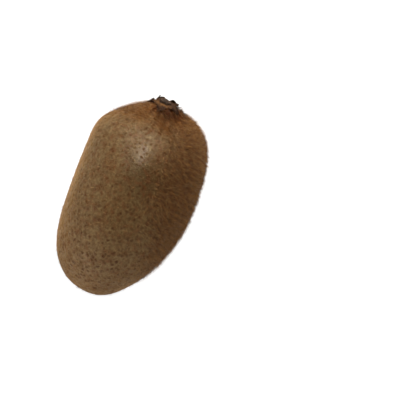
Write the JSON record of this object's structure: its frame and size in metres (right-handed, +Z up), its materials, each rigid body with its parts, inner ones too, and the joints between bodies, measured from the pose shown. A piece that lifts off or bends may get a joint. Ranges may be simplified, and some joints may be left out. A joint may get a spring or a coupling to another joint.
{
  "type": "kiwifruit",
  "caption": "Whole brown-skinned kiwifruit lying on its side, an uneven tapered oval with a dried calyx round its stem scar.",
  "frame": {"origin": "middle of the footprint, on the surface that the fruit lies on", "axes": "+X along the fruit towards the stem end, +Z up, +Y to the fruit's left as it lies"},
  "size_m": [0.0744, 0.0434, 0.0432],
  "materials": {
    "skin": "brown fuzzy fruit skin, satin",
    "stem_scar": "rough dry stalk scar",
    "sepal": "dry shrivelled sepal, matt"
  },
  "bodies": {
    "root": {"fruit": "skin", "stem_scar": "stem_scar", "sepal_1": "sepal", "sepal_2": "sepal", "sepal_3": "sepal", "sepal_4": "sepal", "sepal_5": "sepal"}
  },
  "joints": []
}
